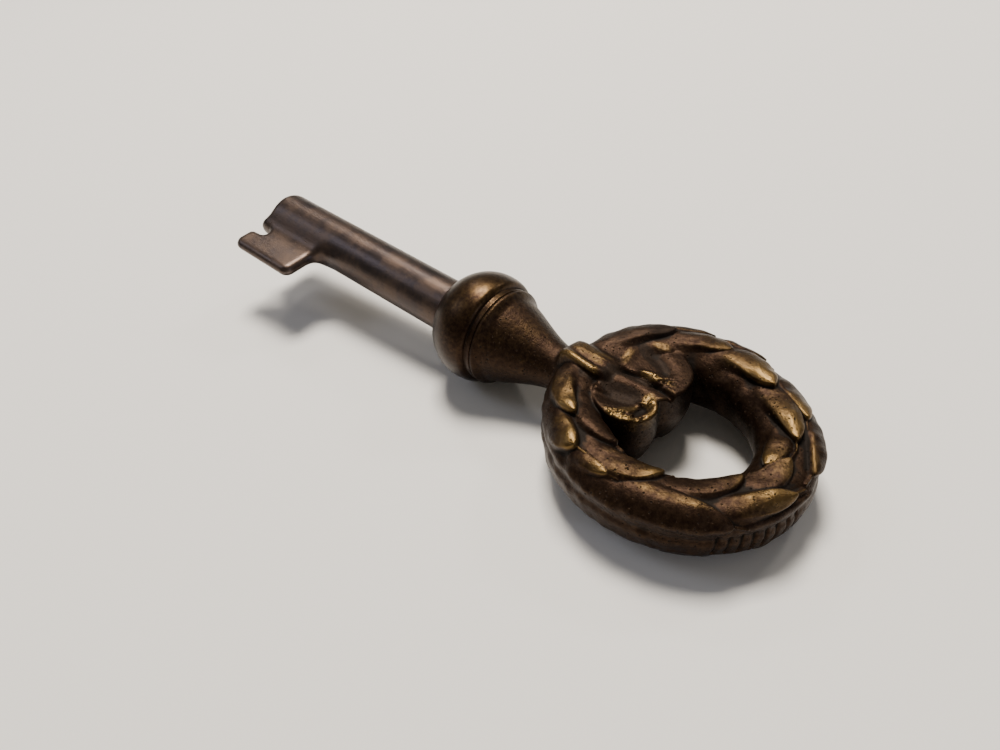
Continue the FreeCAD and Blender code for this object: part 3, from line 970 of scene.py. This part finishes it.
def bronze(name, pitting, relief, dull):
    """Cast bronze: dark patina, rubbed towards gold where it is handled and where a sheen is painted, dirt in
    its hollows, and painted shade where the vertices' wear value falls below zero.
    Pitting is how strong the pits are, relief the bump's depth, dull the patina's roughness."""
    material, tree, shader = new_material(name)
    patches = noise(tree, 0.4, 3.0)
    mottle = noise(tree, 2.4, 6.0, 0.65)
    grain = noise(tree, 9.0, 3.0, 0.6)
    edges = attribute(tree, "edges")
    swell = attribute(tree, "swell")
    vertex_wear_and_light = attribute(tree, "wear_and_painted_light")
    wear_and_painted_light = calc(tree, "ADD", vertex_wear_and_light, calc(tree, "MULTIPLY", mottle, 0.55))
    wear_and_painted_light = calc(tree, "ADD", wear_and_painted_light, calc(tree, "MULTIPLY", patches, 0.45))
    # Rubbed gold, which also carries the painted sheen and the painted tip highlights.
    rubbed_and_sheen = between(tree, wear_and_painted_light, 0.6, 1.4)
    depth = calc(tree, "ADD", swell, calc(tree, "MULTIPLY", edges, 0.4))
    dirt = between(tree, calc(tree, "ADD", depth, calc(tree, "MULTIPLY", mottle, 0.4)), -0.25, -1.3)
    holes = calc(tree, "MULTIPLY", pits(tree, 2.4, 0.30), between(tree, mottle, 0.46, 0.56))
    holes = calc(tree, "MULTIPLY", calc(tree, "MULTIPLY", holes, between(tree, patches, 0.35, 0.5)), pitting)
    patina = blend_colours(tree, between(tree, mottle, 0.3, 0.7), BRONZE_DARK, BRONZE_BROWN)
    metal = blend_colours(tree, rubbed_and_sheen, patina, BRONZE_GOLD)
    # Painted shade: a wear value below zero blends towards the dirt colour.
    painted_shade = calc(tree, "MULTIPLY", between(tree, vertex_wear_and_light, -0.05, -0.35), 0.6)
    dirt_and_shade = calc(tree, "MAXIMUM", calc(tree, "MAXIMUM", dirt, holes), painted_shade)
    tree.links.new(blend_colours(tree, dirt_and_shade, metal, DIRT_AND_SHADE), shader.inputs["Base Color"])
    rough = blend_values(tree, rubbed_and_sheen, dull, 0.29)
    rough = calc(tree, "ADD", rough, calc(tree, "MULTIPLY", calc(tree, "SUBTRACT", grain, 0.5), 0.12))
    tree.links.new(blend_values(tree, dirt_and_shade, rough, 0.65), shader.inputs["Roughness"])
    metallic = blend_values(tree, rubbed_and_sheen, 0.8, 0.92)
    tree.links.new(blend_values(tree, dirt_and_shade, metallic, 0.5), shader.inputs["Metallic"])
    shader.inputs["Specular IOR Level"].default_value = 0.2
    height = calc(tree, "ADD", calc(tree, "MULTIPLY", mottle, 0.7), calc(tree, "MULTIPLY", grain, 0.22))
    bump(tree, shader, calc(tree, "SUBTRACT", height, holes), relief)
    return material


STEEL_DARK = colour(0.047, 0.036, 0.034)
STEEL_BROWN = colour(0.084, 0.058, 0.045)
STEEL_BRIGHT = colour(0.260, 0.220, 0.210)
STEEL_RELIEF = 0.03


def steel(name, edge_wear):
    """Old steel: brown-grey blotches, fine scratches along the key, small rust pits, and
    edges worn bright by edge_wear."""
    material, tree, shader = new_material(name)
    patches = noise(tree, 0.3, 4.0, 0.6)
    mottle = noise(tree, 1.6, 5.0, 0.6)
    scratches = noise(tree, 5.0, 2.0, 0.5, (0.08, 1.0, 1.0))
    edges = attribute(tree, "edges")
    blotch = between(tree, calc(tree, "ADD", patches, calc(tree, "MULTIPLY", mottle, 0.35)), 0.5, 0.85)
    patina = blend_colours(tree, blotch, STEEL_DARK, STEEL_BROWN)
    worn = calc(tree, "ADD", calc(tree, "MULTIPLY", edges, edge_wear), calc(tree, "MULTIPLY", mottle, 0.4))
    worn = between(tree, worn, 0.45, 1.3)
    metal = blend_colours(tree, worn, patina, STEEL_BRIGHT)
    holes = calc(tree, "MULTIPLY", pits(tree, 2.2, 0.2), between(tree, mottle, 0.5, 0.62))
    tree.links.new(blend_colours(tree, holes, metal, DIRT_AND_SHADE), shader.inputs["Base Color"])
    rough = calc(tree, "ADD", blend_values(tree, blotch, 0.27, 0.35), calc(tree, "MULTIPLY", scratches, 0.12))
    tree.links.new(rough, shader.inputs["Roughness"])
    shader.inputs["Metallic"].default_value = 0.92
    height = calc(tree, "ADD", calc(tree, "MULTIPLY", mottle, 0.5), calc(tree, "MULTIPLY", scratches, 0.25))
    bump(tree, shader, calc(tree, "SUBTRACT", height, holes), STEEL_RELIEF)
    return material


# ---- the pieces ----
# The brazing has worn as grey-brown as the steel. Each piece is meshed in the box between
# the two corners given.

bow_material = bronze("bow_bronze_look", 1.0, 0.085, 0.42)
ferrule_material = bronze("ferrule_bronze_look", 0.3, 0.02, 0.34)
barrel_material = steel("barrel_steel_look", 1.0)
bit_material = steel("bit_steel_look", 0.7)
braze_material = steel("braze_brass_look", 0.0)

field_piece("bow_casting", bow_field, bow_wear_and_painted_light, (31.7, -12.6, -6.0), (72.6, 12.6, 6.0), FINE,
            "wreath_bow", bow_material)
field_piece("bead", ferrule_field, plain_wear_and_sheen, (29.9, -6.4, -6.4), (37.1, 6.4, 6.4), FINE,
            "bead_ferrule", ferrule_material)
field_piece("barrel_tube", barrel_field, plain_wear_and_sheen, (-0.3, -3.3, -3.3), (41.3, 3.3, 3.3), FINE,
            "barrel", barrel_material)
field_piece("bit_blade", bit_field, plain_wear_and_sheen, (-0.8, -8.1, -1.0), (10.0, -1.8, 1.0), 0.8 * FINE,
            "bit", bit_material)
field_piece("braze_fillet", braze_field, plain_wear_and_sheen, (-1.6, -7.0, -2.8), (13.0, -0.5, 2.8), 0.8 * FINE,
            "bit_braze", braze_material)

# The hidden pin stays as its CAD node.
shown_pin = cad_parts["cross_pin"]
shown_pin.data.materials.clear()
shown_pin.data.materials.append(barrel_material)


# ---- floor, light and camera ----

def resting_slope():
    """Where the bead rests on the floor, and how steeply the floor rises from there to the
    wreath's far end."""
    bead_x = bead_arc()[0]
    far_x = bow_high[0] - SECTION_HALF_WIDTH
    return bead_x, (ferrule_high[2] - FAR_HALF_HEIGHT - LEAF_STAND / 2.0) / (far_x - bead_x)


def paper(name):
    """Matt pale paper."""
    material, tree, shader = new_material(name)
    shader.inputs["Base Color"].default_value = colour(0.78, 0.76, 0.72)
    shader.inputs["Roughness"].default_value = 0.8
    return material


bead_x, slope = resting_slope()
floor_mesh = bpy.data.meshes.new("floor")
FLOOR_REACH = 1500.0
floor_corners = [(-FLOOR_REACH, -FLOOR_REACH), (FLOOR_REACH, -FLOOR_REACH),
                 (FLOOR_REACH, FLOOR_REACH), (-FLOOR_REACH, FLOOR_REACH)]
floor_points = [(x, y, -ferrule_high[2] + slope * (x - bead_x)) for x, y in floor_corners]
floor_mesh.from_pydata([tuple(c * MM for c in point) for point in floor_points], [], [(0, 1, 2, 3)])
floor = bpy.data.objects.new("floor", floor_mesh)
bpy.context.scene.collection.objects.link(floor)
floor_mesh.materials.append(paper("pale_paper"))


def aimed(place, target, roll=0.0):
    """World matrix of something at place that looks at target."""
    away = (Vector(place) - Vector(target)) * MM
    turn = away.to_track_quat("Z", "Y").to_matrix().to_4x4()
    return Matrix.Translation(Vector(place) * MM) @ turn @ Matrix.Rotation(roll, 4, "Z")


KEY_CENTRE = Vector((40.0, 0.0, 0.0))


def area_light(name, way, distance, size, power, tint):
    """Soft square light that shines on the key along way."""
    lamp = bpy.data.lights.new(name, "AREA")
    lamp.size = size * MM
    lamp.energy = power
    lamp.color = tint
    holder = bpy.data.objects.new(name, lamp)
    bpy.context.scene.collection.objects.link(holder)
    holder.matrix_world = aimed(KEY_CENTRE - Vector(way).normalized() * distance, KEY_CENTRE)


# Name, direction of the light, distance, size, power and tint.
LIGHTS = [
    ("key_light", (0.34, -0.32, -1.0), 560.0, 180.0, 6.0, (1.0, 0.93, 0.84)),
    ("low_lamp", (0.67, -0.41, -0.62), 560.0, 50.0, 0.28, (1.0, 0.93, 0.84)),
    ("side_lamp", (-0.08, -0.78, -0.62), 560.0, 60.0, 0.35, (1.0, 0.95, 0.88)),
    ("left_window", (0.7, 0.35, -0.6), 600.0, 200.0, 0.45, (0.72, 0.8, 1.0)),
    ("right_window", (-0.93, 0.05, -0.4), 600.0, 90.0, 0.35, (0.66, 0.74, 1.0)),
]
for light in LIGHTS:
    area_light(*light)

world = bpy.data.worlds.new("studio")
bpy.context.scene.world = world
world.use_nodes = True
background = world.node_tree.nodes["Background"]
background.inputs["Color"].default_value = colour(1.0, 0.94, 0.87)
background.inputs["Strength"].default_value = 0.2

CAMERA_PLACE = (83.81, -48.38, 60.69)
CAMERA_TARGET = (40.52, -4.54, 0.0)
CAMERA_ROLL = math.radians(-3.99)
CAMERA_LENS = 30.6
camera_data = bpy.data.cameras.new("camera")
camera_data.lens = CAMERA_LENS
camera_data.sensor_width = 36.0
camera_data.clip_start = 0.005
camera_data.clip_end = 10.0
camera = bpy.data.objects.new("camera", camera_data)
bpy.context.scene.collection.objects.link(camera)
camera.matrix_world = aimed(CAMERA_PLACE, CAMERA_TARGET, CAMERA_ROLL)
bpy.context.scene.camera = camera

bpy.context.view_layer.update()
